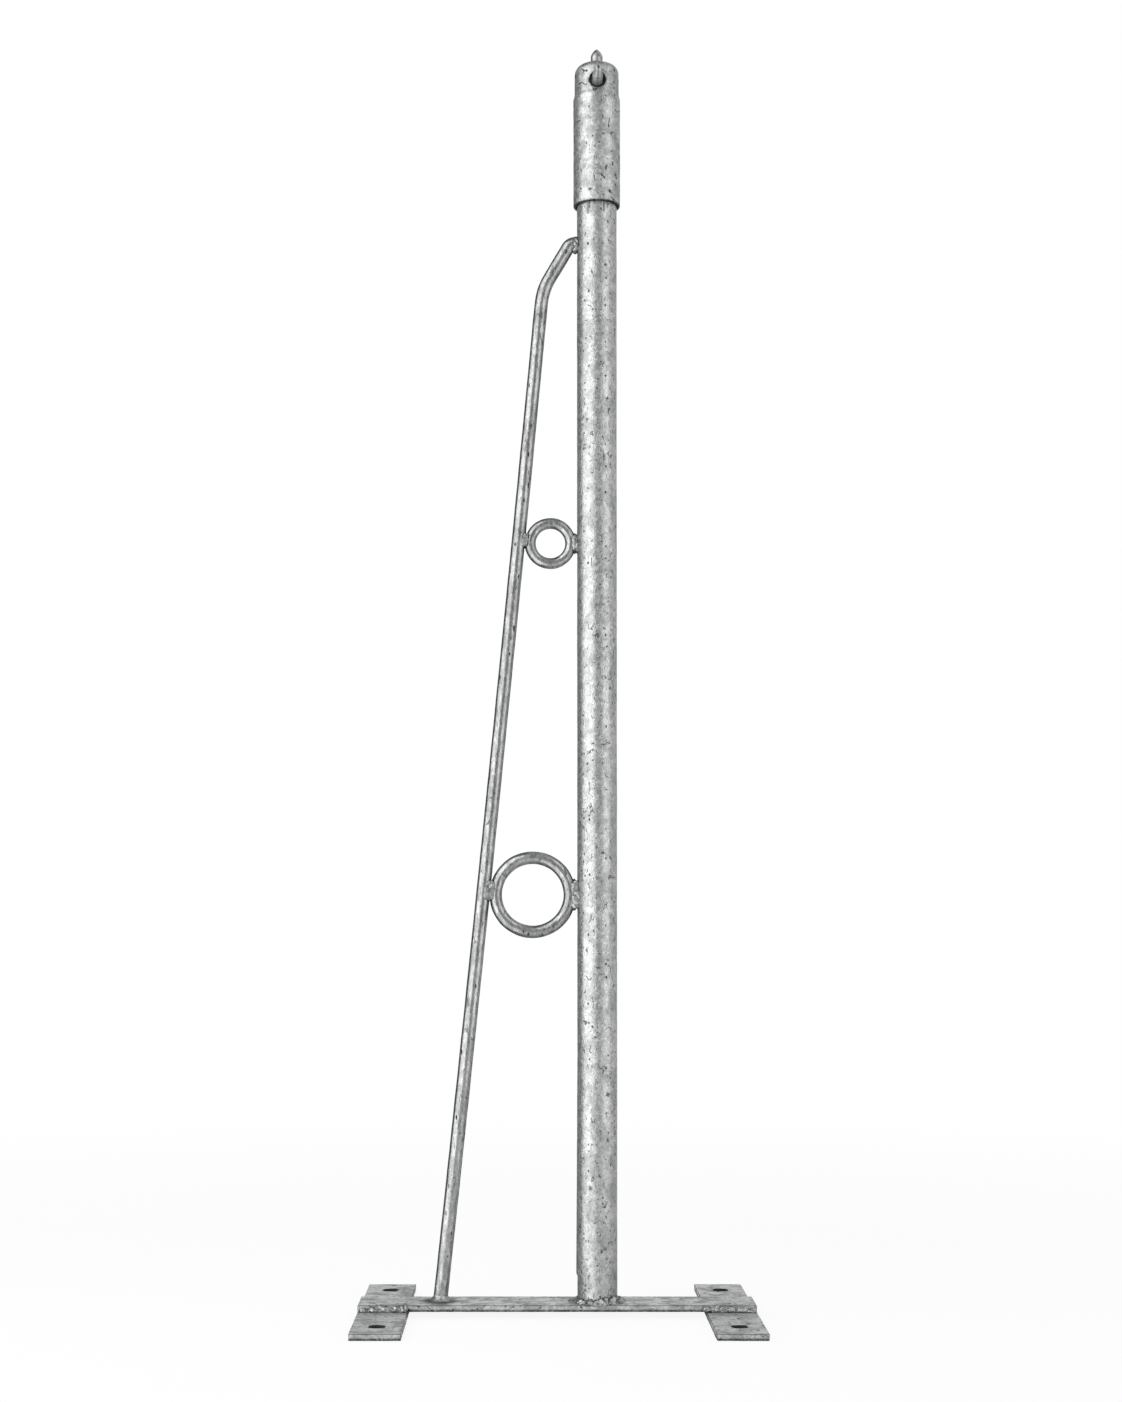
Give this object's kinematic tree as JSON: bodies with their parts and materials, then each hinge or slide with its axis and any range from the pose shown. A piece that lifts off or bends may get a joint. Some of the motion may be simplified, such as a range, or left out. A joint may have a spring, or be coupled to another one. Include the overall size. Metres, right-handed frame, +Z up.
{
  "type": "braced galvanised steel mast",
  "caption": "Upright galvanised steel tube mast on a bolted flat-bar foot, braced by a bent rod with ring spacers, closed by a slip-on head with a top pin and a cross spindle.",
  "frame": {"origin": "on the floor, at the centre of the four bolt holes, under the middle of the base bar", "axes": "+Z up along the mast, +X along the base bar away from the brace, -Y towards the side with the cross spindle"},
  "size_m": [0.595, 0.4, 1.9175],
  "materials": {
    "galvanised_tube": "hot-dip galvanised, spangled, semi-gloss",
    "galvanised_flat": "hot-dip galvanised, mottled, satin",
    "galvanised_rod": "hot-dip galvanised, dull grey",
    "dark_steel": "zinc coated, dull",
    "weld_zinc": "rough weld metal under zinc"
  },
  "bodies": {
    "root": {"base_bar": "galvanised_flat", "cross_plate_left": "galvanised_flat", "cross_plate_right": "galvanised_flat", "pole_tube": "galvanised_tube", "brace_rod": "galvanised_rod", "large_ring": "galvanised_rod", "small_ring": "galvanised_rod", "head_plug": "dark_steel", "head_sleeve": "galvanised_tube", "head_cap": "galvanised_tube", "top_pin": "galvanised_rod", "lock_spindle": "dark_steel", "pole_foot_weld": "weld_zinc", "brace_foot_weld": "weld_zinc", "brace_head_weld": "weld_zinc", "large_ring_brace_weld": "weld_zinc", "large_ring_pole_weld": "weld_zinc", "small_ring_brace_weld": "weld_zinc", "small_ring_pole_weld": "weld_zinc", "left_front_weld": "weld_zinc", "left_rear_weld": "weld_zinc", "right_front_weld": "weld_zinc", "right_rear_weld": "weld_zinc", "cap_seam_weld": "weld_zinc", "top_pin_weld": "weld_zinc"}
  },
  "joints": []
}
